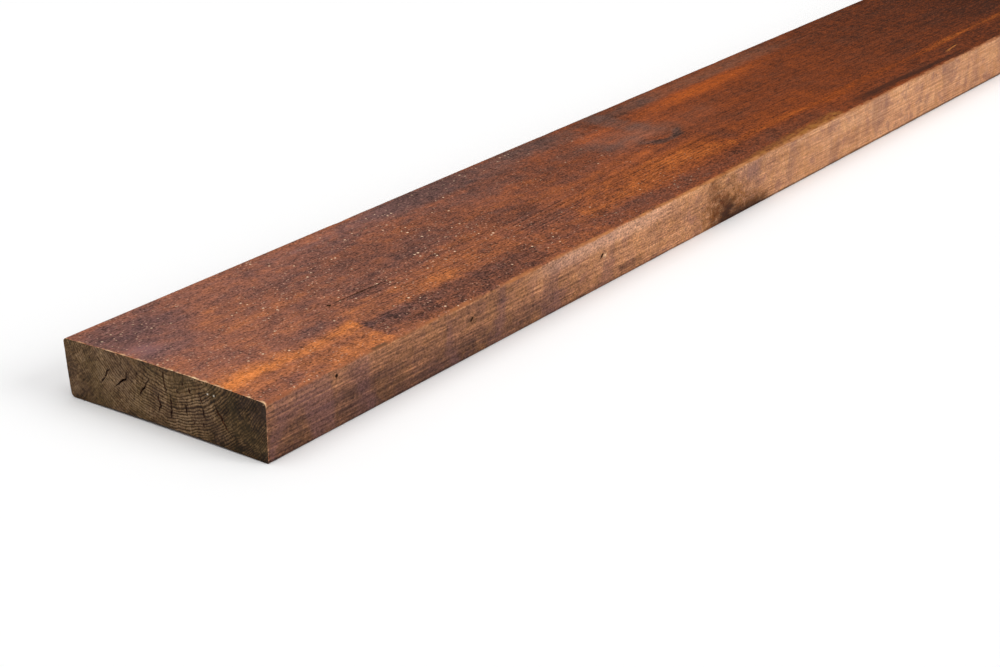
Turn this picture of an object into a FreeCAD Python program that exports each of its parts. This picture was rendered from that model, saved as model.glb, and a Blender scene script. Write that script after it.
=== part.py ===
import FreeCAD, Part
import math
import os
import Sketcher

# One planed softwood decking board, lying flat with its show face up.
# X runs along the length, Y across the width and Z up from the surface it lies on.
# The board has cupped as it dried: the top is crowned, the underside is hollow,
# and both follow arcs about one axis far below, so the thickness stays even.
# The left edge was planed a little out of square and leans in towards the hollow face.
# Left and right are as seen from the end at lower X, looking along the board.

SIZES = [
    ("board_length", 1800.0),
    ("board_width", 120.0),
    ("board_thickness", 28.0),
    ("cup_depth", 1.2),
    ("left_lean", 2.4),
    ("left_top_radius", 1.8),
    ("right_top_radius", 2.0),
    ("left_bottom_radius", 2.4),
    ("right_bottom_radius", 0.7),
]

# Sketch numbering: an element's points count up from 1, the fixed references down from -1.
START, END, CENTRE = range(1, 4)
ORIGIN, VERTICAL_AXIS = range(-1, -3, -1)


def add_sheet(doc):
    """The driving dimensions, in millimetres."""
    sheet = doc.addObject("Spreadsheet::Sheet", "sizes")
    for row, (name, value) in enumerate(SIZES, start=1):
        sheet.set(f"A{row}", name)
        sheet.set(f"B{row}", str(value))
        sheet.setAlias(f"B{row}", name)
    doc.recompute()
    return sheet


def origin_plane(body, role):
    """One of the body's own origin planes."""
    return next(plane for plane in body.Origin.OriginFeatures if plane.Role == role)


def arc_between(centre, radius, start, end):
    """An arc that turns left from one angle to the other."""
    circle = Part.Circle(centre, FreeCAD.Vector(0, 0, 1), radius)
    return Part.ArcOfCircle(circle, start, end)


def draw_section(sketch, sheet):
    """The cupped section: two arcs about one axis, two edges and four eased arrises."""
    half_width = sheet.board_width / 2
    hollow_radius = sheet.board_width**2 / (8 * sheet.cup_depth) + sheet.cup_depth / 2
    crown_radius = hollow_radius + sheet.board_thickness

    # The sharper lower arris touches the ground, which places the cup's axis below it.
    seat = sheet.right_bottom_radius
    reach = math.sqrt((hollow_radius + seat) ** 2 - (half_width - seat) ** 2)
    axis = FreeCAD.Vector(0, seat - reach, 0)

    def arris_centre(across, from_axis):
        rise = math.sqrt(from_axis**2 - across**2)
        return FreeCAD.Vector(across, axis.y + rise, 0)

    def bearing(start, end):
        return math.atan2(end.y - start.y, end.x - start.x)

    def edge(start, start_radius, end, end_radius):
        return Part.LineSegment(
            FreeCAD.Vector(start.x + start_radius, start.y, 0),
            FreeCAD.Vector(end.x + end_radius, end.y, 0),
        )

    left_foot = half_width - sheet.left_lean - sheet.left_bottom_radius
    left_bottom = arris_centre(left_foot, hollow_radius + sheet.left_bottom_radius)
    left_top = arris_centre(half_width - sheet.left_top_radius, crown_radius - sheet.left_top_radius)
    right_top = arris_centre(sheet.right_top_radius - half_width, crown_radius - sheet.right_top_radius)
    right_bottom = arris_centre(seat - half_width, hollow_radius + seat)
    lean_angle = math.atan2(sheet.left_lean, left_top.y - left_bottom.y)

    full_turn = 2 * math.pi
    underside = sketch.addGeometry(
        arc_between(axis, hollow_radius, bearing(axis, left_bottom), bearing(axis, right_bottom))
    )
    left_bottom_arris = sketch.addGeometry(
        arc_between(
            left_bottom,
            sheet.left_bottom_radius,
            bearing(left_bottom, axis) + full_turn,
            full_turn - lean_angle,
        )
    )
    left_edge = sketch.addGeometry(
        edge(left_bottom, sheet.left_bottom_radius, left_top, sheet.left_top_radius)
    )
    left_top_arris = sketch.addGeometry(
        arc_between(left_top, sheet.left_top_radius, -lean_angle, bearing(axis, left_top))
    )
    top = sketch.addGeometry(
        arc_between(axis, crown_radius, bearing(axis, left_top), bearing(axis, right_top))
    )
    right_top_arris = sketch.addGeometry(
        arc_between(right_top, sheet.right_top_radius, bearing(axis, right_top), math.pi)
    )
    right_edge = sketch.addGeometry(edge(right_top, -sheet.right_top_radius, right_bottom, -seat))
    right_bottom_arris = sketch.addGeometry(
        arc_between(right_bottom, seat, math.pi, bearing(right_bottom, axis) + full_turn)
    )

    # Every joint runs smoothly into the next, from the hollow round to the hollow again.
    joints = [
        (underside, START, left_bottom_arris, START),
        (left_bottom_arris, END, left_edge, START),
        (left_edge, END, left_top_arris, START),
        (left_top_arris, END, top, START),
        (top, END, right_top_arris, START),
        (right_top_arris, END, right_edge, START),
        (right_edge, END, right_bottom_arris, START),
        (right_bottom_arris, END, underside, END),
    ]
    for joint in joints:
        sketch.addConstraint(Sketcher.Constraint("Tangent", *joint))

    sketch.addConstraint(Sketcher.Constraint("Coincident", top, CENTRE, underside, CENTRE))
    sketch.addConstraint(Sketcher.Constraint("PointOnObject", underside, CENTRE, VERTICAL_AXIS))
    sketch.addConstraint(Sketcher.Constraint("Vertical", right_edge))

    def bind(name, formula, constraint):
        index = sketch.addConstraint(constraint)
        sketch.renameConstraint(index, name)
        sketch.setExpression(f"Constraints.{name}", formula)

    hollow = "sizes.board_width ^ 2 / (8 * sizes.cup_depth) + sizes.cup_depth / 2"
    crown = f"{hollow} + sizes.board_thickness"
    bind("hollow_radius", hollow, Sketcher.Constraint("Radius", underside, hollow_radius))
    bind("crown_radius", crown, Sketcher.Constraint("Radius", top, crown_radius))
    arrises = [
        ("left_bottom_radius", left_bottom_arris),
        ("left_top_radius", left_top_arris),
        ("right_top_radius", right_top_arris),
        ("right_bottom_radius", right_bottom_arris),
    ]
    for name, arris in arrises:
        radius = getattr(sheet, name)
        bind(name, f"sizes.{name}", Sketcher.Constraint("Radius", arris, radius))
    bind(
        "left_reach",
        "sizes.board_width / 2 - sizes.left_top_radius",
        Sketcher.Constraint("DistanceX", ORIGIN, START, left_top_arris, CENTRE, left_top.x),
    )
    bind(
        "left_lean",
        "sizes.left_lean",
        Sketcher.Constraint("DistanceX", left_edge, START, left_edge, END, sheet.left_lean),
    )
    bind(
        "right_reach",
        "sizes.board_width / 2",
        Sketcher.Constraint("DistanceX", right_edge, START, ORIGIN, START, half_width),
    )
    bind(
        "seat",
        "sizes.right_bottom_radius",
        Sketcher.Constraint("DistanceY", ORIGIN, START, right_bottom_arris, CENTRE, seat),
    )


def make_board(doc, sheet):
    """The board: its section carried equally far along the length both ways."""
    body = doc.addObject("PartDesign::Body", "board")
    body.Label = "board"
    body.Placement = FreeCAD.Placement()
    sketch = body.newObject("Sketcher::SketchObject", "section")
    sketch.AttachmentSupport = [(origin_plane(body, "YZ_Plane"), "")]
    sketch.MapMode = "FlatFace"
    draw_section(sketch, sheet)
    doc.recompute()
    pad = body.newObject("PartDesign::Pad", "length")
    pad.Profile = sketch
    pad.SideType = "Symmetric"
    pad.setExpression("Length", "sizes.board_length")
    doc.recompute()
    return body


def check(doc, bodies):
    """Stops before anything is written if a feature failed or a solid is unsound."""
    for item in doc.Objects:
        faults = {"Invalid", "Error"}.intersection(item.State)
        if faults:
            raise RuntimeError(f"{item.Name}: {', '.join(sorted(faults))}")
    for body in bodies:
        if body.Shape.isNull() or not body.Shape.isValid():
            raise RuntimeError(f"{body.Label}: no sound solid")
        if len(body.Shape.Solids) != 1:
            raise RuntimeError(f"{body.Label}: {len(body.Shape.Solids)} solids")


doc = FreeCAD.newDocument("decking_board")
sheet = add_sheet(doc)
bodies = [make_board(doc, sheet)]
doc.recompute()
check(doc, bodies)
os.makedirs("parts", exist_ok=True)
for body in bodies:
    body.Shape.exportStep(f"parts/{body.Label}.step")
    box = body.Shape.BoundBox
    print(f"{body.Label}: {box.XLength:.2f} x {box.YLength:.2f} x {box.ZLength:.2f} mm")
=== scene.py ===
import math
import random

import bpy
import numpy as np
from mathutils import Matrix, Vector, noise
from mathutils.geometry import delaunay_2d_cdt


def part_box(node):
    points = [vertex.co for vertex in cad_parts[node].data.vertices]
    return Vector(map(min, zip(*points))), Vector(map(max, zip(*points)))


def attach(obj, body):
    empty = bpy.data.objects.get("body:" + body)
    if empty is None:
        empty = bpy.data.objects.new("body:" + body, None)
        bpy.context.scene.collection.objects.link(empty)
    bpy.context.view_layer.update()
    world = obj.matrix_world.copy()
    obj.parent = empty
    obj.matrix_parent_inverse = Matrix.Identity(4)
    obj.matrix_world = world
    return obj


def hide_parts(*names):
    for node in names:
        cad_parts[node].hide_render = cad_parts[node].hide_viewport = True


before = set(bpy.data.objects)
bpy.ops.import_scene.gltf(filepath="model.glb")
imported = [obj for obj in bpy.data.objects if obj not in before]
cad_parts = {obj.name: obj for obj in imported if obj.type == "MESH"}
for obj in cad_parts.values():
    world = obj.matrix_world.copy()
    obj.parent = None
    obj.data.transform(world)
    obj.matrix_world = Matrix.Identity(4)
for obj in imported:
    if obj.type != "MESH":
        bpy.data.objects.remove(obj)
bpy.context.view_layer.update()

# A worn, red-brown stained softwood decking board. Sizes are in millimetres until they become
# vertices. Places on it are along (from the near end), across (from the middle, left is positive)
# and up (from the floor), with left and right as seen from the near end.
MM = 0.001

low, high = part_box("board")
NEAR_END = low.x
LENGTH = (high.x - low.x) / MM
WIDTH = (high.y - low.y) / MM

# The section's other sizes, as in the CAD model
THICKNESS = 28.0
CUP_DEPTH = 1.2
LEFT_LEAN = 2.4
LEFT_TOP_RADIUS = 1.8
RIGHT_TOP_RADIUS = 2.0
LEFT_BOTTOM_RADIUS = 2.4
RIGHT_BOTTOM_RADIUS = 0.7

# Mesh fineness, and the angle in degrees from which an edge shows as sharp
ACROSS_STEP = 1.2
ALONG_STEP = 7.5
END_STEP = 2.5
TOP_STEPS = round(WIDTH / ACROSS_STEP)
EDGE_STEPS = round(THICKNESS / ACROSS_STEP)
ARRIS_STEPS = 6
SHARP_ANGLE = 35

# Planing waves leave the long faces this far below the true section on average
WAVE_DEPTH = 0.05

# The lip round a sawn end: its length, and how far it and the end grain in it are drawn in
LIP_LENGTH = 1.5
LIP_INSET = 0.12
GRAIN_INSET = 0.22

# The middle of the log, which the growth rings go round: above the show face, right of centre
PITH_ACROSS = -4.0
PITH_UP = 55.0
RING_WIDTH = 1.5


# The section's outline


def bearing(start, end):
    return math.atan2(end[1] - start[1], end[0] - start[0])


def around(centre, radius, angle):
    return (centre[0] + radius * math.cos(angle), centre[1] + radius * math.sin(angle))


def arc(centre, radius, start, end, steps):
    """Points along an arc, without its last one."""
    return [around(centre, radius, angle) for angle in np.linspace(start, end, steps, endpoint=False)]


def straight(start, end, steps):
    """Points from one place to another, without the last one."""
    return [tuple(point) for point in np.linspace(start, end, steps, endpoint=False)]


def section():
    """Points round the cupped section as (across, up), left to right over the top and back below."""
    half = WIDTH / 2
    hollow = WIDTH**2 / (8 * CUP_DEPTH) + CUP_DEPTH / 2
    crown = hollow + THICKNESS
    seat = RIGHT_BOTTOM_RADIUS
    axis = (0.0, seat - math.sqrt((hollow + seat) ** 2 - (half - seat) ** 2))
    turn = 2 * math.pi

    def arris(across, from_axis):
        return (across, axis[1] + math.sqrt(from_axis**2 - across**2))

    left_top = arris(half - LEFT_TOP_RADIUS, crown - LEFT_TOP_RADIUS)
    right_top = arris(RIGHT_TOP_RADIUS - half, crown - RIGHT_TOP_RADIUS)
    right_bottom = arris(seat - half, hollow + seat)
    left_bottom = arris(half - LEFT_LEAN - LEFT_BOTTOM_RADIUS, hollow + LEFT_BOTTOM_RADIUS)
    lean = math.atan2(LEFT_LEAN, left_top[1] - left_bottom[1])
    left_edge_foot = around(left_bottom, LEFT_BOTTOM_RADIUS, -lean)
    left_edge_head = around(left_top, LEFT_TOP_RADIUS, -lean)

    points = arc(axis, crown, bearing(axis, left_top), bearing(axis, right_top), TOP_STEPS)
    points += arc(right_top, RIGHT_TOP_RADIUS, bearing(axis, right_top), math.pi, ARRIS_STEPS)
    points += straight((-half, right_top[1]), (-half, right_bottom[1]), EDGE_STEPS)
    points += arc(right_bottom, seat, math.pi, bearing(right_bottom, axis) + turn, ARRIS_STEPS)
    points += arc(axis, hollow, bearing(axis, right_bottom), bearing(axis, left_bottom), TOP_STEPS)
    underneath = bearing(left_bottom, axis) + turn
    points += arc(left_bottom, LEFT_BOTTOM_RADIUS, underneath, turn - lean, ARRIS_STEPS)
    points += straight(left_edge_foot, left_edge_head, EDGE_STEPS)
    points += arc(left_top, LEFT_TOP_RADIUS, -lean, bearing(axis, left_top), ARRIS_STEPS)
    return np.array(points)


def outward(points):
    """Unit normals of the outline."""
    run = np.roll(points, -1, axis=0) - np.roll(points, 1, axis=0)
    normals = np.column_stack((run[:, 1], -run[:, 0]))
    return normals / np.linalg.norm(normals, axis=1)[:, None]


def lengths_along(points):
    """How far each point is along the line through them all."""
    return np.concatenate(([0.0], np.cumsum(np.linalg.norm(np.diff(points, axis=0), axis=1))))


OUTLINE = section()
NORMALS = outward(OUTLINE)
GIRTH = lengths_along(OUTLINE)


def on_show_face(along, across):
    """A place on the show face as (girth, along)."""
    return (float(np.interp(-across, -OUTLINE[:TOP_STEPS, 0], GIRTH[:TOP_STEPS])), along)


def on_right_edge(along, up):
    """A place on the right-hand edge as (girth, along)."""
    first = TOP_STEPS + ARRIS_STEPS
    last = first + EDGE_STEPS
    return (float(np.interp(-up, -OUTLINE[first:last, 1], GIRTH[first:last])), along)


# Cracks, splits and pits


class Cut:
    """A thin ragged groove along a line of points in a face's own plane, with a margin of painted
    shade.
    """

    # Spacing and least number of its points, and the least and most share of the width along it
    STEP = 1.1
    FEWEST_STEPS = 5
    WIDTH_SHARES = (0.45, 1.3)

    # How wide the margin is, and how much painted shade the lips have, which fades across the margin
    MARGIN = 0.45
    LIP_SHADE = 0.7

    def __init__(self, points, width, depth, seed, wobble=0.45):
        chance = random.Random(seed)
        route = np.array(points, float)
        reach = lengths_along(route)
        steps = max(self.FEWEST_STEPS, round(reach[-1] / self.STEP))
        places = np.linspace(0.0, reach[-1], steps)
        line = np.column_stack([np.interp(places, reach, route[:, k]) for k in range(2)])
        run = np.gradient(line, axis=0)
        run /= np.linalg.norm(run, axis=1)[:, None]
        side = np.column_stack((-run[:, 1], run[:, 0]))
        swell = np.sqrt(np.sin(np.linspace(0.0, math.pi, steps)).clip(0.0))
        line[1:-1] += side[1:-1] * [[chance.uniform(-wobble, wobble)] for _ in range(steps - 2)]
        half = np.array([width / 2 * s * chance.uniform(*self.WIDTH_SHARES) for s in swell])[:, None]
        right_lip = line - side * half
        left_lip = (line + side * half)[-2:0:-1]
        self.outline = np.vstack((right_lip, left_lip))
        self.floor = line[1:-1]
        self.depths = depth * swell[1:-1]

        spread = side * (half + self.MARGIN)
        before = line[:1] - run[:1] * self.MARGIN
        after = line[-1:] + run[-1:] * self.MARGIN
        self.margin = np.vstack((before, (line - spread)[1:-1], after, (line + spread)[-2:0:-1]))


# Drying checks in the sawn ends, as (across, up) points, widths and depths
NEAR_CHECKS = [
    Cut([(31.7, 20.7), (33.7, 17.7), (35.7, 14.5), (37.7, 11.7)], 0.7, 2.5, seed=1),
    Cut([(20.3, 21.7), (21.7, 19.0), (23.0, 17.0), (26.3, 14.7), (29.3, 12.0)], 0.8, 3.0, seed=2),
    Cut([(15.0, 23.0), (15.7, 21.0)], 0.6, 1.5, seed=3),
    Cut([(7.7, 22.0), (9.7, 19.0), (11.3, 16.3), (14.0, 12.0)], 0.8, 3.0, seed=4),
    Cut([(-1.0, 27.3), (-1.3, 24.0), (-2.0, 20.7), (-2.0, 16.7)], 0.8, 3.0, seed=5),
    Cut([(2.3, 16.3), (2.7, 13.3), (1.7, 10.7), (3.0, 6.7)], 0.8, 2.5, seed=6),
    Cut([(-4.3, 18.3), (-4.7, 14.7), (-4.7, 10.7), (-4.3, 6.0)], 0.9, 3.0, seed=7),
    Cut([(-8.7, 21.0), (-9.0, 19.3)], 0.9, 1.5, seed=8),
    Cut([(-12.2, 26.0), (-12.0, 23.3)], 0.6, 1.5, seed=9),
    Cut([(-15.7, 23.3), (-16.7, 20.7)], 0.9, 1.5, seed=10),
    Cut([(-13.0, 15.3), (-14.0, 13.0), (-14.3, 10.0)], 0.8, 1.5, seed=11),
    Cut([(-21.3, 22.3), (-23.0, 19.3), (-23.7, 17.8)], 0.9, 2.5, seed=12),
    Cut([(-23.3, 16.0), (-24.0, 13.3), (-25.0, 10.7)], 1.0, 2.5, seed=13),
    Cut([(-30.3, 19.7), (-32.3, 16.7), (-34.3, 14.0), (-36.3, 11.0), (-38.0, 8.3)], 0.9, 3.0, seed=14),
    Cut([(-18.0, 9.3), (-18.3, 7.0)], 0.7, 1.2, seed=15),
    Cut([(-23.3, 9.3), (-23.7, 6.7)], 0.7, 1.2, seed=16),
]
FAR_CHECKS = [
    Cut([(27.0, 22.0), (33.0, 15.0), (37.0, 9.0)], 0.9, 3.0, seed=21),
    Cut([(10.0, 24.0), (13.5, 15.0)], 0.8, 2.5, seed=22),
    Cut([(-3.0, 19.0), (-3.5, 6.5)], 1.0, 3.5, seed=23),
    Cut([(-14.0, 22.0), (-17.0, 11.0)], 0.9, 3.0, seed=24),
    Cut([(-27.0, 20.0), (-33.0, 11.5)], 1.0, 3.0, seed=25),
]

# A split in the show face with a hole at its near tip, and pits in the right-hand edge; each row
# below is cut in a window of the mesh of its own
SHOW_SPLIT = [on_show_face(98, -12.6), on_show_face(117, -13.2), on_show_face(136, -14.2)]
SPLIT_HOLE = [on_show_face(94.5, -12.4), on_show_face(97.0, -12.8)]
SURFACE_CUTS = [
    [Cut(SHOW_SPLIT, 0.8, 1.2, 31, wobble=0.15), Cut(SPLIT_HOLE, 2.2, 1.8, 32, wobble=0.0)],
    [Cut([on_right_edge(45.2, 25.4), on_right_edge(44.6, 23.4)], 1.4, 1.2, 33, wobble=0.0)],
    [Cut([on_right_edge(140.0, 17.6), on_right_edge(142.4, 19.4)], 1.3, 0.9, 34, wobble=0.0)],
    [Cut([on_right_edge(248.2, 15.4), on_right_edge(250.8, 18.2)], 1.1, 1.0, 35, wobble=0.0)],
]

# Room left round the cuts in their window of the mesh
CLEARANCE = 0.2


# The board's mesh


class Mesh:
    """Vertices in metres, with how much painted shade each has and how frayed it is, and faces."""

    def __init__(self):
        self.vertices = []
        self.cut_shade = []
        self.fray = []
        self.faces = []

    def add(self, along, across, up, cut_shade=0.0, fray=0.0):
        self.vertices.append((NEAR_END + along * MM, across * MM, up * MM))
        self.cut_shade.append(cut_shade)
        self.fray.append(fray)
        return len(self.vertices) - 1

    def ring(self, along, points, fray=0.0):
        """One loop round the section; along and fray may differ from point to point."""
        along = np.broadcast_to(along, len(points))
        fray = np.broadcast_to(fray, len(points))
        return [self.add(a, p[0], p[1], fray=f) for a, p, f in zip(along, points, fray)]

    def join(self, first, second, skip=()):
        """Quads between two rings, nearer one first, without those skipped."""
        count = len(first)
        for k in range(count):
            if k not in skip:
                n = (k + 1) % count
                self.faces.append((first[k], first[n], second[n], second[k]))

    def drop_unused(self):
        """Forgets the vertices that no face uses, which a window of cuts leaves inside it."""
        used = sorted({vertex for face in self.faces for vertex in face})
        number = {vertex: k for k, vertex in enumerate(used)}
        self.vertices = [self.vertices[k] for k in used]
        self.cut_shade = [self.cut_shade[k] for k in used]
        self.fray = [self.fray[k] for k in used]
        self.faces = [tuple(number[k] for k in face) for face in self.faces]


def closed(start, count):
    """Edges round a loop of points numbered from start."""
    return [(start + k, start + (k + 1) % count) for k in range(count)]


def grid_within(outline, spacing):
    """Points of a square grid in an outline's box, which starts one space in from its sides."""
    lowest = np.min(outline, axis=0) + spacing
    highest = np.max(outline, axis=0) - spacing
    columns = np.arange(lowest[0], highest[0], spacing)
    rows = np.arange(lowest[1], highest[1], spacing)
    return [(across, up) for across in columns for up in rows]


def fill(boundary, flat, cuts, lift, inside=()):
    """Triangles inside a closed boundary of vertices, with grooves cut into them.

    flat is the boundary in the face's plane, and inside is a list of more points of that plane.
    lift adds the vertex for a point, a depth below the plane and how much painted shade it has.
    """
    points = []
    sunk = []
    edges = []

    def draw(line, depths, cut_shade, is_loop=True):
        sides = closed(len(points), len(line))
        edges.extend(sides if is_loop else sides[:-1])
        points.extend(Vector(point) for point in line)
        sunk.extend((depth, cut_shade) for depth in np.broadcast_to(depths, len(line)))

    draw(flat, 0.0, 0.0)
    for cut in cuts:
        draw(cut.outline, 0.0, cut.LIP_SHADE)
        draw(cut.floor, cut.depths, 1.0, is_loop=False)
        draw(cut.margin, 0.0, 0.0)
    points.extend(Vector(point) for point in inside)
    sunk.extend((0.0, 0.0) for _ in inside)

    inside_only = 1
    too_close = 1e-5
    found, _, faces, sources, _, _ = delaunay_2d_cdt(points, edges, [], inside_only, too_close)
    place = []
    for spot, source in zip(found, sources):
        if source and source[0] < len(boundary):
            place.append(boundary[source[0]])
        else:
            depth, cut_shade = sunk[source[0]] if source else (0.0, 0.0)
            place.append(lift(spot, depth, cut_shade))
    return [tuple(place[k] for k in face) for face in faces]


def relief(along):
    """The outline at one place along: planed faces are never quite true, and arrises are dented."""
    moved = OUTLINE.copy()
    for k, (across, up) in enumerate(OUTLINE):
        arris = 2 * abs(NORMALS[k][0] * NORMALS[k][1])
        wave = noise.noise((along / 90, across / 14, up / 14))
        dent = noise.noise((along / 17, across / 40, up / 9 + 30))
        depth = WAVE_DEPTH * (1 + wave) + 0.9 * arris * max(0.0, dent - 0.3)
        moved[k] -= NORMALS[k] * depth
    return moved


def torn_lip(seed):
    """How far torn fibres stand out past a sawn end, most along its top edge."""
    tear = []
    for (across, up), (sideways, upward) in zip(OUTLINE, NORMALS):
        share = 0.5 * max(0.0, upward) + 0.25 * abs(sideways)
        coarse = noise.noise((across / 9, up / 9, seed))
        fine = noise.noise((across / 1.9, up / 1.9, seed + 5))
        tear.append(0.04 + share * max(0.0, 0.3 + 0.5 * coarse + 0.5 * fine))
    return np.array(tear)


def surface_window(cuts):
    """Grid cells that hold some cuts: first and last ring, first and last outline point."""
    points = np.vstack([cut.margin for cut in cuts])
    lowest = points.min(axis=0) - CLEARANCE
    highest = points.max(axis=0) + CLEARANCE
    first_point = int(np.searchsorted(GIRTH, lowest[0])) - 1
    last_point = int(np.searchsorted(GIRTH, highest[0]))
    return int(lowest[1] // ALONG_STEP), int(highest[1] // ALONG_STEP) + 1, first_point, last_point


def add_surface_cuts(mesh, rings, stations, cuts):
    """Fills one window of the grid with cuts, and returns the cells it took."""
    start, end, first, last = surface_window(cuts)
    loop = [(start, k) for k in range(first, last)]
    loop += [(i, last) for i in range(start, end)]
    loop += [(end, k) for k in range(last, first, -1)]
    loop += [(i, first) for i in range(end, start, -1)]

    def lift(spot, depth, cut_shade):
        inset = OUTLINE - NORMALS * (WAVE_DEPTH + depth)
        across, up = [float(np.interp(spot[0], GIRTH, inset[:, c])) for c in range(2)]
        return mesh.add(spot[1], across, up, cut_shade)

    boundary = [rings[i][k] for i, k in loop]
    flat = [(GIRTH[k], stations[i]) for i, k in loop]
    mesh.faces += fill(boundary, flat, cuts, lift)
    return {(i, k) for i in range(start, end) for k in range(first, last)}


def add_sawn_end(mesh, end, way, last, checks):
    """A lip of torn fibres round one end, and the end grain inside it with its checks."""
    tear = torn_lip(seed=3 + way)
    fray = np.clip(0.75 * NORMALS[:, 1] + 0.5 * np.abs(NORMALS[:, 0]), 0.0, 1.0)
    inner = OUTLINE - NORMALS * (GRAIN_INSET + 0.35 * tear)[:, None]
    edge = mesh.ring(end + way * tear, OUTLINE - NORMALS * LIP_INSET, fray)
    inset = mesh.ring(end, inner, 0.35 * fray)

    def lift(spot, depth, cut_shade):
        return mesh.add(end - way * depth, spot[0], spot[1], cut_shade)

    faces = fill(inset, inner, checks, lift, grid_within(inner, END_STEP))
    if way < 0:
        mesh.join(inset, edge)
        mesh.join(edge, last)
        faces = [face[::-1] for face in faces]
    else:
        mesh.join(last, edge)
        mesh.join(edge, inset)
    mesh.faces += faces


def build_board():
    mesh = Mesh()
    stations = np.arange(0.0, LENGTH + ALONG_STEP / 2, ALONG_STEP)
    stations[0] = LIP_LENGTH
    stations[-1] = LENGTH - LIP_LENGTH
    rings = [mesh.ring(along, relief(along)) for along in stations]
    taken = set()
    for cuts in SURFACE_CUTS:
        taken |= add_surface_cuts(mesh, rings, stations, cuts)
    for i, (first, second) in enumerate(zip(rings, rings[1:])):
        mesh.join(first, second, {k for row, k in taken if row == i})
    add_sawn_end(mesh, 0.0, -1, rings[0], NEAR_CHECKS)
    add_sawn_end(mesh, LENGTH, 1, rings[-1], FAR_CHECKS)
    mesh.drop_unused()
    return mesh


# The board's texture map: its faces in strips on one square sheet


# A strip's length, the gap between strips, and the height of an edge or end with a little to spare
STRIP = 750.0
GAP = 1.5
TALL = 29.5

# A face belongs to a sawn end if more than this share of its normal is along the board
END_FACING = 0.7


def strip_corners():
    """Where each strip lies on the sheet, by face and strip number, and the sheet's side."""
    heights = {"top": WIDTH, "bottom": WIDTH, "left": TALL, "right": TALL}
    corners = {}
    row = GAP
    for part in range(2):
        for face, height in heights.items():
            corners[face, part] = (GAP, row)
            row += height + GAP
    second = LENGTH - 2 * STRIP + 2 * GAP
    third = 2 * second
    corners["top", 2] = (GAP, row)
    corners["bottom", 2] = (second, row)
    corners["near", 0] = (third, row)
    corners["far", 0] = (third, row + TALL + GAP)
    row += WIDTH + GAP
    corners["left", 2] = (GAP, row)
    corners["right", 2] = (second, row)
    return corners, row + TALL + GAP


def face_of(normal, along):
    """Which strip a face belongs to."""
    if abs(normal.x) > END_FACING:
        return ("near", 0) if along < LENGTH / 2 else ("far", 0)
    part = int(np.clip(along // STRIP, 0, 2))
    if abs(normal.z) > abs(normal.y):
        return ("top" if normal.z > 0 else "bottom", part)
    return ("left" if normal.y > 0 else "right", part)


def add_texture_map(data):
    corners, sheet = strip_corners()
    layer = data.uv_layers.new(name="OFBake")
    for polygon in data.polygons:
        face, part = face_of(polygon.normal, (polygon.center.x - NEAR_END) / MM)
        corner = corners[face, part]
        for loop in polygon.loop_indices:
            x, y, z = data.vertices[data.loops[loop].vertex_index].co / MM
            first = y + WIDTH / 2 if face in ("near", "far") else x - NEAR_END / MM - part * STRIP
            second = y + WIDTH / 2 if face in ("top", "bottom") else z
            layer.data[loop].uv = ((corner[0] + first) / sheet, (corner[1] + second) / sheet)


def make_board():
    mesh = build_board()
    data = bpy.data.meshes.new("decking_board")
    data.from_pydata(mesh.vertices, [], mesh.faces)
    data.update()
    for name, values in (("cut_shade", mesh.cut_shade), ("fray", mesh.fray)):
        data.attributes.new(name, "FLOAT", "POINT").data.foreach_set("value", values)
    data.shade_smooth()
    data.set_sharp_from_angle(angle=math.radians(SHARP_ANGLE))
    add_texture_map(data)
    data.materials.append(stained_pine())
    board = bpy.data.objects.new("decking_board", data)
    bpy.context.scene.collection.objects.link(board)
    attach(board, "root")
    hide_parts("board")


# Shader arithmetic


class Field:
    """A number or colour that varies over the surface. Arithmetic on it adds shader nodes."""

    def __init__(self, socket):
        self.socket = socket
        self.tree = socket.id_data

    def math(self, operation, *others):
        node = self.tree.nodes.new("ShaderNodeMath")
        node.operation = operation
        for slot, value in zip(node.inputs, (self, *others)):
            feed(slot, value)
        return Field(node.outputs[0])

    def __add__(self, other):
        return self.math("ADD", other)

    def __sub__(self, other):
        return self.math("SUBTRACT", other)

    def __mul__(self, other):
        return self.math("MULTIPLY", other)

    def __truediv__(self, other):
        return self.math("DIVIDE", other)

    def __rsub__(self, other):
        return self.math("MULTIPLY_ADD", -1.0, other)

    __radd__ = __add__
    __rmul__ = __mul__


def feed(slot, value):
    """Sets a socket to a number or colour, or links a field to it."""
    if isinstance(value, Field):
        value.tree.links.new(value.socket, slot)
    else:
        slot.default_value = value


def rise(field, start, end):
    """0 before start, 1 after end, and smooth between."""
    node = field.tree.nodes.new("ShaderNodeMapRange")
    node.interpolation_type = "SMOOTHSTEP"
    feed(node.inputs["Value"], field)
    feed(node.inputs["From Min"], start)
    feed(node.inputs["From Max"], end)
    return Field(node.outputs["Result"])


def vector(first, second, third):
    node = first.tree.nodes.new("ShaderNodeCombineXYZ")
    for slot, value in zip(node.inputs, (first, second, third)):
        feed(slot, value)
    return Field(node.outputs[0])


def parts(socket):
    """The three numbers of a vector or colour socket."""
    node = socket.id_data.nodes.new("ShaderNodeSeparateXYZ")
    socket.id_data.links.new(socket, node.inputs[0])
    return [Field(output) for output in node.outputs]


def attribute(tree, name):
    """A number that the mesh holds at its points."""
    node = tree.nodes.new("ShaderNodeAttribute")
    node.attribute_name = name
    return Field(node.outputs["Fac"])


def cloud(place, detail, roughness=0.5):
    """Noise about zero, in lumps of about a unit of place and finer."""
    node = place.tree.nodes.new("ShaderNodeTexNoise")
    feed(node.inputs["Vector"], place)
    feed(node.inputs["Scale"], 1.0)
    feed(node.inputs["Detail"], detail)
    feed(node.inputs["Roughness"], roughness)
    return (Field(node.outputs[0]) - 0.5) * 12.0


def scatter(place):
    """Distance to the nearest of scattered points, about one unit apart, and two random numbers."""
    node = place.tree.nodes.new("ShaderNodeTexVoronoi")
    feed(node.inputs["Vector"], place)
    feed(node.inputs["Scale"], 1.0)
    chances = parts(node.outputs["Color"])
    return Field(node.outputs["Distance"]), chances[0], chances[1]


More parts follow.
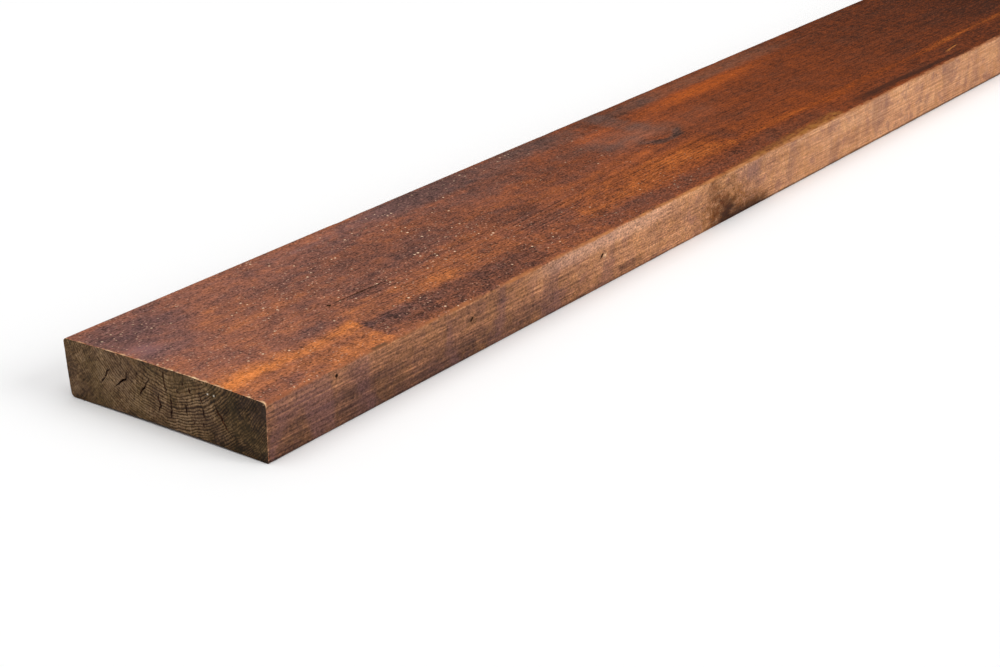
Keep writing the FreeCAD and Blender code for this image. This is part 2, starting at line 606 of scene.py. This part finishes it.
def rgb(red, green, blue):
    """A colour as seen on a screen, 0 to 255, as the shader's linear light."""
    shares = [value / 255 for value in (red, green, blue)]
    light = [s / 12.92 if s <= 0.04045 else ((s + 0.055) / 1.055) ** 2.4 for s in shares]
    return (*light, 1.0)


def shade(field, stops):
    """A colour from a field: stops are (value, colour)."""
    node = field.tree.nodes.new("ShaderNodeValToRGB")
    feed(node.inputs["Fac"], field)
    elements = node.color_ramp.elements
    while len(elements) < len(stops):
        elements.new(1.0)
    for element, (value, colour) in zip(elements, stops):
        element.position = value
        element.color = colour
    return Field(node.outputs["Color"])


def mix(first, second, amount):
    """From the first colour to the second as amount goes from 0 to 1."""
    node = amount.tree.nodes.new("ShaderNodeMix")
    node.data_type = "RGBA"
    first_colour, second_colour = node.inputs[6:8]
    feed(node.inputs["Factor"], amount)
    feed(first_colour, first)
    feed(second_colour, second)
    return Field(node.outputs[2])


def brighten(colour, factor):
    """A colour times a number, which is kept from falling to black."""
    darkest = 0.2
    node = factor.tree.nodes.new("ShaderNodeVectorMath")
    node.operation = "SCALE"
    feed(node.inputs[0], colour)
    feed(node.inputs["Scale"], factor.math("MAXIMUM", darkest))
    return Field(node.outputs[0])


def patch(first, second, centre, half, feather):
    """1 inside a box about centre and 0 outside, with soft edges."""
    inside = 1.0
    for place, middle, reach, soft in zip((first, second), centre, half, feather):
        inside = (1.0 - rise((place - middle).math("ABSOLUTE"), reach - soft, reach + soft)) * inside
    return inside


# The stained wood


class Wood:
    """Places on the board and the marks that more than one of its faces shows."""

    def __init__(self, tree):
        coordinates = tree.nodes.new("ShaderNodeTexCoord")
        geometry = tree.nodes.new("ShaderNodeNewGeometry")
        x, y, z = parts(coordinates.outputs["Object"])
        self.along = (x - NEAR_END) / MM
        self.across = y / MM
        self.up = z / MM
        self.facing_along, self.facing_across, self.facing_up = parts(geometry.outputs["Normal"])

        # 1 on the right-hand edge and 0 on the other faces
        self.on_right = 1.0 - rise(self.facing_across, -0.85, -0.35)
        self.cut_shade = attribute(tree, "cut_shade")
        self.fray = attribute(tree, "fray")
        self.from_end = self.along.math("MINIMUM", LENGTH - self.along)
        self.streak = self.grain(220, 8, 3.0, 0.5, 1)
        self.stain = self.grain(45, 22, 4.0, 0.6, 2)
        self.mottle = self.grain(9, 5.5, 4.0, 0.6, 3)
        self.fibre = self.grain(30, 1.2, 3.0, 0.6, 4)
        self.fleck = self.grain(5, 1.8, 2.0, 0.6, 5)
        self.grit = self.grain(1.5, 1.0, 2.0, 0.7, 6)
        self.add_rings()

    def grain(self, length, width, detail, roughness, seed):
        """Noise drawn out along the board; each seed reads it at another place."""
        place = vector(self.along / length + 17.3 * seed, self.across / width, self.up / width)
        return cloud(place, detail, roughness)

    def scattered(self, apart):
        """Scattered points over the board, about this far apart."""
        return scatter(vector(self.along / apart, self.across / apart, self.up / apart))

    def add_rings(self):
        """Growth rings: bands by distance from the pith, which wanders along the board."""
        sway = cloud(vector(self.along / 500, 3.7, 0.0), 0.0)
        lift = cloud(vector(self.along / 450, 11.3, 5.0), 0.0)
        away = rise(self.along, 0, 200)
        sideways = self.across - PITH_ACROSS - 2.0 * sway * away
        upward = self.up - PITH_UP - 2.0 * lift * away
        radius = (sideways * sideways + upward * upward).math("SQRT")
        radius = radius + 0.3 * self.grain(130, 11, 2.0, 0.5, 7)
        radius = radius + 0.08 * self.grain(30, 2.5, 2.0, 0.5, 8)
        show_knot = patch(self.along, self.across, (402, 4), (4, 2), (26, 11))
        edge_knot = patch(self.along, self.up, (386, 2), (12, 4), (25, 10))
        radius = radius + 9.0 * show_knot + 3.0 * edge_knot

        # The rings get narrower as the tree ages
        age = radius / RING_WIDTH + 0.004 * (radius - 41.0) * (radius - 41.0)
        ring = (age + 0.2 * cloud(vector(radius / 5, 2.0, 0.0), 1.0)).math("FRACT")
        self.radius = radius
        self.angle = sideways.math("ARCTAN2", upward)
        self.latewood = rise(ring, 0.3, 0.75) * (1.0 - rise(ring, 0.85, 1.0)) - 0.4


# Where the show face differs from its general colour: centre, half size and feather, each along and
# across, then how much more orange it is or, below zero, more purple-brown, and how much brighter
SHOW_PATCHES = [
    ((24, 42), (30, 14), (16, 8), -0.30, -0.10),
    ((14, 13), (18, 8), (12, 6), -0.22, 0.10),
    ((43, -46), (45, 15), (1.2, 6), 0.16, -0.04),
    ((43, -36), (45, 4), (2, 4), 0.31, 0.16),
    ((150, -48), (63, 9.5), (1.2, 2.0), -0.04, -0.20),
    ((100, -45), (12, 6), (2, 4), -0.06, -0.10),
    ((91, -41), (3, 2.5), (2, 2), -0.20, -0.12),
    ((121, -13.7), (15, 1.0), (8, 0.9), -0.10, -0.22),
    ((155, -30), (66, 7), (20, 5), 0.20, 0.05),
    ((155, 42), (75, 14), (40, 10), -0.15, 0.12),
    ((172, 51), (48, 6), (20, 4), 0.0, 0.28),
    ((150, 8), (60, 16), (40, 12), -0.10, 0.0),
    ((200, -17), (30, 6), (20, 4), 0.12, 0.08),
    ((250, -48), (26, 8), (14, 5), 0.0, -0.10),
    ((260, 20), (20, 10), (12, 8), -0.03, 0.14),
    ((290, 48), (90, 9), (30, 5), -0.44, 0.06),
    ((285, 30), (60, 9), (30, 6), -0.13, 0.05),
    ((344, -30), (76, 14), (3, 6), 0.22, 0.03),
    ((350, -5), (25, 8), (12, 6), 0.06, 0.18),
    ((348, 26), (16, 9), (8, 5), -0.22, 0.0),
    ((420, -26), (130, 12), (90, 8), 0.10, 0.0),
    ((380, 31), (16, 8), (7, 5), -0.02, 0.38),
    ((408, 40), (9, 20), (5, 9), -0.36, 0.10),
    ((500, 35), (66, 7), (40, 5), 0.20, 0.38),
    ((440, 48), (26, 7), (12, 5), -0.28, -0.06),
    ((538, 49), (82, 8), (32, 5), -0.20, 0.30),
    ((392, 14), (32, 11), (12, 7), -0.28, 0.27),
    ((390, 13), (14, 6), (8, 4), 0.04, 0.26),
    ((450, 12), (22, 12), (14, 8), -0.05, 0.20),
    ((422, -22), (12, 8), (8, 5), -0.20, -0.12),
    ((405, -42), (14, 6), (8, 4), -0.05, -0.13),
    ((465, -47), (40, 6), (20, 4), -0.10, -0.08),
    ((600, -36.8), (210, 2.6), (50, 3.0), 0.19, 0.03),
    ((725, -36.8), (90, 1.8), (60, 1.6), 0.20, 0.07),
    ((785, -10), (40, 16), (30, 12), -0.05, -0.12),
]

# Dark marks on the right-hand edge: centre, half size and feather, each along and up, and how dark
EDGE_MARKS = [
    ((276, 4.7), (9, 1.6), (2, 1.0), 0.22),
    ((141, 18.4), (2.5, 1.0), (2.5, 1.0), 0.28),
    ((230, 0), (6, 2), (3, 1.5), 0.2),
]

# Pale chips on the near end, as (across, up)
END_CHIPS = [(-26.8, 23.4), (-30.4, 23.5)]

# Stain on the show face, by the near end and farther along, each from thick to worn thin
# The near colours are paler and hazier: partly worn stain and partly a painted sheen
NEAR_STAIN_AND_SHEEN = [
    (0.0, rgb(108, 77, 74)),
    (0.25, rgb(126, 86, 77)),
    (0.5, rgb(147, 92, 71)),
    (0.75, rgb(170, 102, 64)),
    (1.0, rgb(200, 118, 62)),
]
FAR_STAIN = [
    (0.0, rgb(112, 79, 66)),
    (0.25, rgb(121, 71, 48)),
    (0.5, rgb(134, 65, 30)),
    (0.75, rgb(153, 72, 22)),
    (1.0, rgb(184, 97, 36)),
]

# Long edges, end grain and the torn fibres round it, each from dark to pale
EDGE_COLOURS = [
    (0.0, rgb(70, 44, 33)),
    (0.2, rgb(90, 60, 47)),
    (0.4, rgb(122, 81, 59)),
    (0.6, rgb(160, 108, 76)),
    (0.8, rgb(195, 138, 98)),
    (1.0, rgb(224, 168, 124)),
]
END_COLOURS = [
    (0.0, rgb(34, 22, 11)),
    (0.25, rgb(66, 47, 27)),
    (0.5, rgb(93, 69, 44)),
    (0.75, rgb(117, 89, 60)),
    (1.0, rgb(142, 114, 84)),
]
FIBRE_COLOURS = [(0.0, rgb(168, 96, 58)), (1.0, rgb(246, 208, 162))]

# Rubbed arrises, from the near end to this far along
RUBBED_LENGTH = 700.0
RUBBED_COLOURS = [
    (0.0, rgb(150, 88, 58)),
    (0.45, rgb(188, 124, 74)),
    (0.7, rgb(178, 120, 78)),
    (1.0, rgb(168, 110, 74)),
]

# The show face's knot, along and across, and the height that the edge's knot hangs down from
KNOT_MIDDLE = (402.0, 6.0)
KNOT_HALF = (17.0, 10.5)
EDGE_KNOT_TOP = 26.0

# How far apart the dust and the specks lie, and how high the finest relief stands
DUST_APART = 1.9
SPECKS_APART = 3.2
BUMP_HEIGHT = 0.25


def show_face_knot(along, across):
    """A knot under the stain: a dark rim that is open to the left, and the paler eye in it."""
    lengthwise = (along - KNOT_MIDDLE[0]) / KNOT_HALF[0]
    sideways = (across - KNOT_MIDDLE[1]) / KNOT_HALF[1]
    from_middle = (lengthwise * lengthwise + sideways * sideways).math("SQRT")
    rim = 1.0 - rise((from_middle - 1.0).math("ABSOLUTE"), 0.05, 0.35)
    eye = 1.0 - rise(from_middle, 0.4, 0.9)
    return rim * (1.0 - rise(sideways, -0.6, 0.1)), eye


def show_face_stain(wood, along, across):
    """How orange the stain is and how bright, from its patches, its knot and broad mottling."""
    plain = rise(wood.along, 820, 1100)
    calm = 1.0 - 0.5 * rise(wood.along, 250, 500) + 0.4 * plain
    warmth = 0.5 + calm * (0.03 * wood.streak + 0.07 * wood.stain + 0.05 * wood.mottle)
    # Brightest by the near end, partly a painted sheen, and darker farther along
    value = 1.0 - 0.24 * rise(wood.along, 10, 165) - 0.3 * rise(wood.along, 500, 740)
    value = value - 0.1 * rise(wood.along, 730, 800) + 0.22 * plain
    for centre, half, feather, warmer, brighter in SHOW_PATCHES:
        inside = patch(along, across, centre, half, feather)
        warmth = warmth + warmer * inside
        value = value + brighter * inside
    rim, eye = show_face_knot(along, across)
    warmth = warmth - 0.4 * rim + 0.06 * eye
    value = value - 0.24 * rim + 0.06 * eye
    mottling = 0.04 * wood.stain + 0.06 * wood.mottle + 0.05 * wood.fibre + 0.06 * wood.fleck
    return warmth, value + calm * mottling


def show_face_grain(wood):
    """Fine light and dark: grit, fibres, faint bands across the board and growth rings."""
    grit = (0.24 - 0.08 * rise(wood.along, 320, 560)) * wood.grit
    fibres = 0.06 * rise(wood.along, 260, 500) * (wood.fleck + wood.fibre)
    crosswise = cloud(vector(wood.along / 7, wood.across / 35, 0.0), 3.0)
    lined = patch(wood.along, wood.across, (265, -22), (180, 14), (60, 10))
    knotted = patch(wood.along, wood.across, (400, 4), (18, 9), (14, 7))
    rings = (0.06 + 0.22 * lined.math("MAXIMUM", knotted)) * wood.latewood
    return grit + fibres + 0.035 * crosswise - rings


def right_side_marks(wood, colour, along, across):
    """The show face's right-hand side: a strip worn to tan, a dark wedge and a torn sliver."""
    bare_width = 0.8 + 6.0 * rise(wood.along, 340, 500)
    bare = 1.0 - rise(across + WIDTH / 2 - bare_width, -2.5, 2.5)
    bare = bare * patch(along, across, (397, -58), (108, 9), (4, 1))
    colour = mix(colour, rgb(158, 103, 48), (0.6 + 0.15 * wood.mottle + 0.2 * wood.fleck) * bare)
    narrowing = rise(wood.along, 520, 690)
    from_wedge = (across + 52.5 + 3.5 * narrowing).math("ABSOLUTE") / (4.0 - 2.4 * narrowing)
    wedge = (1.0 - rise(from_wedge, 0.5, 1.3)) * rise(along, 512, 556) * (1.0 - rise(along, 634, 684))
    colour = mix(colour, rgb(58, 30, 18), 0.8 * wedge)
    from_sliver = (across + 48.5 - 0.1 * (wood.along - 662.0)).math("ABSOLUTE")
    sliver = (1.0 - rise(from_sliver, 0.2, 0.9)) * patch(along, across, (674, -47), (9, 9), (4, 1))
    return mix(colour, rgb(192, 120, 58), (0.6 + 0.2 * wood.mottle) * sliver)


def show_face(wood):
    """Mottled red-brown, orange where the stain wore thin and purple-brown where it lies thick."""
    along = wood.along + 0.8 * wood.grain(30, 3, 2.0, 0.6, 11)
    across = wood.across + 0.7 * wood.grain(60, 8, 3.0, 0.6, 12)
    warmth, value = show_face_stain(wood, along, across)
    # Paler, hazier colours by the near end: partly worn stain, partly a painted sheen
    colour = mix(shade(warmth, NEAR_STAIN_AND_SHEEN), shade(warmth, FAR_STAIN), rise(wood.along, 50, 540))
    colour = brighten(colour, value + show_face_grain(wood))
    # A bluish bloom at the very near end: partly dust, partly a painted sheen
    bluish_bloom_and_sheen = patch(along, across, (9, 20), (7, 6), (6, 5))
    colour = mix(colour, rgb(132, 98, 102), 0.6 * bluish_bloom_and_sheen)
    return right_side_marks(wood, colour, along, across)


def right_edge_knot(wood, colour, along):
    """A knot on the right-hand edge: a dark streak that widens downwards into a darker core."""
    depth = EDGE_KNOT_TOP - wood.up
    blotch = wood.grain(7, 5, 3.0, 0.7, 25)
    lower = 0.5 + 0.5 * rise(depth, 3, 15)
    from_halo = (along - 362.0 - 0.75 * depth).math("ABSOLUTE") / (18.0 + 0.75 * depth)
    halo = (0.75 + 0.3 * blotch) * (1.0 - rise(from_halo, 0.4, 1.5)) * lower
    colour = mix(colour, rgb(130, 80, 38), halo * wood.on_right)
    from_streak = (along - 356.0 - 0.7 * depth).math("ABSOLUTE") / (6.0 + 0.4 * depth)
    broken = 0.75 + 0.3 * blotch + 0.15 * wood.fleck
    streak = 0.85 * broken * (1.0 - rise(from_streak, 0.1, 1.6)) * lower
    colour = mix(colour, rgb(94, 47, 12), streak * wood.on_right)
    smear = patch(along, wood.up, (399, 21.5), (8, 5), (6, 3))
    colour = mix(colour, rgb(130, 92, 84), 0.7 * smear * wood.on_right)
    core = patch(along, wood.up, (373, 4), (7, 6), (6, 5))
    core = core.math("MAXIMUM", patch(along, wood.up, (387, 0), (26, 4.5), (9, 4)))
    return mix(colour, rgb(54, 24, 4), 0.9 * core * wood.on_right)


def edge_tone(wood, along, inner):
    """How pale the long edges are: darker low down near the ends, with fibres and a few dark marks."""
    height = 0.2 * rise(wood.up, 10, 24) - 0.12 * (1.0 - rise(wood.up, 4, 16))
    tone = 0.31 + 0.47 * inner + (1.0 - inner) * height
    tone = tone + 0.05 * patch(wood.from_end, wood.up, (550, 14), (60, 30), (40, 1))
    bands = cloud(vector(wood.along / 3.4, wood.across / 40, wood.up / 12), 2.0)
    long_fibres = wood.grain(130, 1.3, 3.0, 0.6, 21)
    short_fibres = wood.grain(14, 1.0, 2.0, 0.6, 24)
    tone = tone + 0.02 * wood.streak + 0.03 * wood.stain + 0.025 * wood.mottle + 0.018 * bands
    tone = tone + (0.085 - 0.045 * inner) * long_fibres + 0.035 * short_fibres - 0.07 * wood.latewood
    for centre, half, feather, darker in EDGE_MARKS:
        tone = tone - darker * patch(along, wood.up, centre, half, feather) * wood.on_right
    return tone


def edge_tints(wood, colour, inner):
    """Yellowish and purplish patches, and dull marks across the edge left by the planer."""
    tint = wood.grain(11, 9, 3.0, 0.65, 23)
    colour = mix(colour, rgb(190, 130, 62), (0.08 + 0.12 * inner) * rise(tint, 0.1, 1.4))
    colour = mix(colour, rgb(124, 84, 84), (0.1 + 0.25 * inner) * (1.0 - rise(tint, -1.8, -0.5)))
    chatter = cloud(vector(wood.along / 24, wood.across / 60, wood.up / 60), 2.0)
    return mix(colour, rgb(112, 76, 74), (0.45 - 0.1 * inner) * rise(chatter, 0.3, 1.4))


def edge_face(wood):
    """Tan under a thin stain, darker brown towards the ends, with fine dark fibres."""
    inner = rise(wood.from_end, 60, 400)
    along = wood.along + 1.4 * wood.grain(30, 6, 2.0, 0.6, 22)
    colour = shade(edge_tone(wood, along, inner), EDGE_COLOURS)
    colour = edge_tints(wood, colour, inner)
    # A painted highlight high up on the right-hand edge
    pale = patch(along, wood.up, (255, 26), (55, 5), (25, 3))
    colour = mix(colour, rgb(210, 162, 136), 0.5 * pale * wood.on_right)
    pit_rim = patch(along, wood.up, (251.8, 16.2), (1.3, 0.9), (0.8, 0.8))
    colour = mix(colour, rgb(226, 184, 144), 0.8 * pit_rim * wood.on_right)
    colour = right_edge_knot(wood, colour, along)
    # Painted contact shadow along the foot of the long edges, partly a dark arris, stronger farther
    # along
    foot = (1.0 - rise(wood.up, 0.6, 2.0)) * rise(wood.facing_across.math("ABSOLUTE"), 0.3, 0.8)
    foot = foot * (0.3 + 0.4 * rise(wood.along, 340, 430))
    coarse = 1.0 - 0.6 * rise(wood.from_end, 360, 480)
    value = 1.0 + coarse * (0.22 * wood.grit + 0.1 * wood.fleck) + 0.03 * wood.fibre - foot
    return brighten(colour, value)


def end_tone(wood):
    """How pale the end grain is: growth rings, rays and lumps, darker to the right and at the foot."""
    rays = cloud(vector(wood.angle * 140, wood.radius / 9, 0.0), 2.0)
    rough = cloud(vector(wood.along, wood.across / 2.4, wood.up / 2.4), 3.0, 0.6)
    lumps = cloud(vector(wood.along + 9.0, wood.across / 8, wood.up / 8), 3.0, 0.6)
    broad = cloud(vector(wood.along, wood.across / 22, wood.up / 22), 3.0, 0.55)
    clear = patch(wood.across, wood.up, (-12, 15), (18, 11), (16, 9))
    ring_strength = (0.34 + 0.44 * clear) * (1.0 + 0.35 * broad)
    right = 1.0 - rise(wood.across, -46, -14)
    corner = patch(wood.across, wood.up, (-51, 25), (11, 4), (5, 4))
    foot = 1.0 - rise(wood.up, 1.0, 7)
    tone = 0.61 - ring_strength * wood.latewood + 0.07 * rays + 0.1 * rough + 0.1 * lumps + 0.08 * broad
    return tone + 0.04 * clear - 0.35 * right - 0.3 * corner - 0.12 * foot


def sawn_end(wood):
    """Olive-brown end grain with dark growth rings, blackened at one top corner."""
    colour = shade(end_tone(wood), END_COLOURS)
    hue = cloud(vector(wood.along, wood.across / 17 + 4.0, wood.up / 17), 3.0, 0.6)
    colour = mix(colour, rgb(98, 80, 44), 0.2 * rise(hue, 0.1, 1.3))
    colour = mix(colour, rgb(92, 68, 56), 0.25 * (1.0 - rise(hue, -1.3, -0.1)))
    near = 1.0 - rise(wood.along, 5, 10)
    for place in END_CHIPS:
        chip = patch(wood.across, wood.up, place, (0.4, 0.4), (0.2, 0.2))
        colour = mix(colour, rgb(214, 206, 190), 0.9 * chip * near)
    return brighten(colour, 1.0 + 0.22 * wood.grit)


def worn_arrises(wood, colour, ragged):
    """Bare wood along the top arrises, where the stain rubs through in places."""
    rounded = (wood.facing_up * wood.facing_across).math("ABSOLUTE")
    worn = rise(rounded + 0.06 * ragged, 0.2, 0.45) * rise(wood.facing_up, 0.1, 0.4)
    worn = worn * (0.55 + 0.3 * wood.grain(9, 20, 3.0, 0.6, 43))
    rubbed = shade(wood.along / RUBBED_LENGTH, RUBBED_COLOURS)
    return mix(colour, rubbed, worn.math("MAXIMUM", 0.0))


def torn_fibres(wood, colour):
    """Pale torn fibres along the top and side edges of the sawn ends."""
    torn = wood.fray + 0.15 * wood.grain(9, 2.2, 3.0, 0.6, 31)
    creamy = patch(wood.across, wood.up, (-20, 29), (16, 9), (10, 1))
    pale = shade(0.35 + 0.35 * creamy + 0.2 * wood.grain(14, 4, 2.0, 0.6, 32), FIBRE_COLOURS)
    return mix(colour, pale, 0.9 * rise(torn, 0.38, 0.72) * rise(wood.fray, 0.02, 0.2))


def dust_and_glinting_specks(wood, colour):
    """Fine pale dust, and brighter specks in clusters towards the near end, which are returned too."""
    upper = rise(wood.facing_up, 0.7, 0.9)
    cluster = 0.5 + 0.3 * wood.grain(45, 25, 2.0, 0.5, 42)
    distance, chance, _ = wood.scattered(DUST_APART)
    dust = (1.0 - rise(distance, 0.1, 0.32)) * rise(chance, 0.3, 1.0) * upper
    dust = dust * (0.5 + 0.5 * cluster) * (1.0 - rise(wood.along, 150, 480))
    colour = mix(colour, rgb(222, 176, 148), 0.8 * dust)
    # The brighter specks are partly pale dust and partly painted glints
    distance, chance, size = wood.scattered(SPECKS_APART)
    reach = 0.04 + 0.13 * size * size
    glinting_speck = (1.0 - rise(distance, reach, reach + 0.08)) * rise(cluster - chance, -0.05, 0.5)
    glinting_speck = glinting_speck * (0.3 + 0.7 * size) * (1.0 - rise(wood.along, 210, 460)) * upper
    glinting_speck = glinting_speck * (0.7 + 0.3 * rise(wood.along, 30, 110))
    return mix(colour, rgb(248, 212, 176), glinting_speck), glinting_speck


def bumps(wood, glinting_speck):
    """The surface's direction, roughened by fibres, growth rings, grit and specks."""
    height = 0.06 * wood.fibre + 0.05 * wood.mottle - 0.25 * wood.latewood
    height = height + 0.06 * wood.grit + 0.6 * glinting_speck
    node = height.tree.nodes.new("ShaderNodeBump")
    feed(node.inputs["Strength"], 0.5)
    feed(node.inputs["Distance"], BUMP_HEIGHT * MM)
    feed(node.inputs["Height"], height)
    return Field(node.outputs["Normal"])


def stained_pine():
    """The board's one material: show face, edges or sawn end, by the way the surface faces."""
    material = bpy.data.materials.new("stained_pine")
    material.use_nodes = True
    wood = Wood(material.node_tree)
    ragged = wood.grain(26, 20, 3.0, 0.6, 41)
    upward = rise(wood.facing_up + (0.08 * ragged).math("MAXIMUM", -0.1), 0.45, 0.8)
    endways = rise(wood.facing_along.math("ABSOLUTE"), 0.25, 0.6)
    colour = mix(edge_face(wood), show_face(wood), upward)
    colour = worn_arrises(wood, colour, ragged)
    blot = patch(wood.along, wood.across, (75, -60), (5, 1.5), (2, 0.5)) * upward
    colour = mix(colour, rgb(92, 68, 48), 0.8 * blot)
    colour = mix(colour, sawn_end(wood), endways)
    colour = torn_fibres(wood, colour)
    colour, glinting_speck = dust_and_glinting_specks(wood, colour)
    # Painted shade in the cracks, splits and pits: darkest on their floors, less on their lips, none
    # past their margins
    colour = mix(colour, rgb(42, 23, 12), 0.94 * rise(wood.cut_shade, 0.0, 1.0))

    surface = material.node_tree.nodes["Principled BSDF"]
    feed(surface.inputs["Base Color"], colour)
    feed(surface.inputs["Roughness"], 0.58 - 0.02 * wood.fibre + 0.03 * wood.mottle)
    feed(surface.inputs["Specular IOR Level"], 0.1)
    feed(surface.inputs["Normal"], bumps(wood, glinting_speck))
    return material


# Floor, light and camera


FLOOR_REACH = 80000.0
FLOOR_COLOUR = (0.97, 0.97, 0.97, 1.0)


def make_floor():
    reach = FLOOR_REACH * MM
    corners = [(-reach, -reach, 0.0), (reach, -reach, 0.0), (reach, reach, 0.0), (-reach, reach, 0.0)]
    plane = bpy.data.meshes.new("floor")
    plane.from_pydata(corners, [], [(0, 1, 2, 3)])
    floor = bpy.data.objects.new("floor", plane)
    bpy.context.scene.collection.objects.link(floor)
    material = bpy.data.materials.new("floor")
    material.use_nodes = True
    surface = material.node_tree.nodes["Principled BSDF"]
    surface.inputs["Base Color"].default_value = FLOOR_COLOUR
    surface.inputs["Roughness"].default_value = 0.9
    surface.inputs["Specular IOR Level"].default_value = 0.0
    plane.materials.append(material)


def make_softbox(name, direction, strength, spread):
    """A soft lamp shining from a direction, as wide as spread in degrees."""
    lamp = bpy.data.lights.new(name, "SUN")
    lamp.energy = strength
    lamp.angle = math.radians(spread)
    holder = bpy.data.objects.new(name, lamp)
    holder.rotation_euler = Vector(direction).to_track_quat("Z", "Y").to_euler()
    bpy.context.scene.collection.objects.link(holder)


def make_studio():
    """Walls that are bright overhead and dim towards the horizon, over a pale ground."""
    world = bpy.data.worlds.new("studio")
    world.use_nodes = True
    bpy.context.scene.world = world
    tree = world.node_tree
    coordinates = tree.nodes.new("ShaderNodeTexCoord")
    height = parts(coordinates.outputs["Generated"])[2]

    # Brightness by height, from straight down at -1 to straight up at 1
    levels = [(-1.0, 0.8), (-0.02, 0.8), (0.0, 0.02), (0.35, 0.09), (0.6, 0.45), (1.0, 1.0)]
    walls = shade(
        height * 0.5 + 0.5,
        [(place * 0.5 + 0.5, (level, level, level, 1.0)) for place, level in levels],
    )
    feed(tree.nodes["Background"].inputs["Color"], walls)


# The camera's place along, across and up, its angles in degrees and its lens
CAMERA_PLACE = (-596.5, -617.2, 397.5)
CAMERA_HEADING = 36.26
CAMERA_PITCH = 22.67
CAMERA_ROLL = 0.15
CAMERA_LENS = 77.81


def make_camera():
    data = bpy.data.cameras.new("camera")
    data.lens = CAMERA_LENS
    data.sensor_width = 36.0
    camera = bpy.data.objects.new("camera", data)
    heading = Matrix.Rotation(math.radians(CAMERA_HEADING - 90), 4, "Z")
    pitch = Matrix.Rotation(math.radians(90 - CAMERA_PITCH), 4, "X")
    roll = Matrix.Rotation(math.radians(-CAMERA_ROLL), 4, "Z")
    place = Vector(CAMERA_PLACE) * MM + Vector((NEAR_END, 0.0, 0.0))
    camera.matrix_world = Matrix.Translation(place) @ heading @ pitch @ roll
    bpy.context.scene.collection.objects.link(camera)
    bpy.context.scene.camera = camera


make_board()
make_floor()
make_studio()
make_softbox("right_softbox", (0.25, -0.85, 0.5), 1.2, 35)
make_softbox("overhead_softbox", (-0.2, 0.05, 1.0), 0.95, 60)
make_camera()
bpy.context.scene.view_settings.view_transform = "Standard"
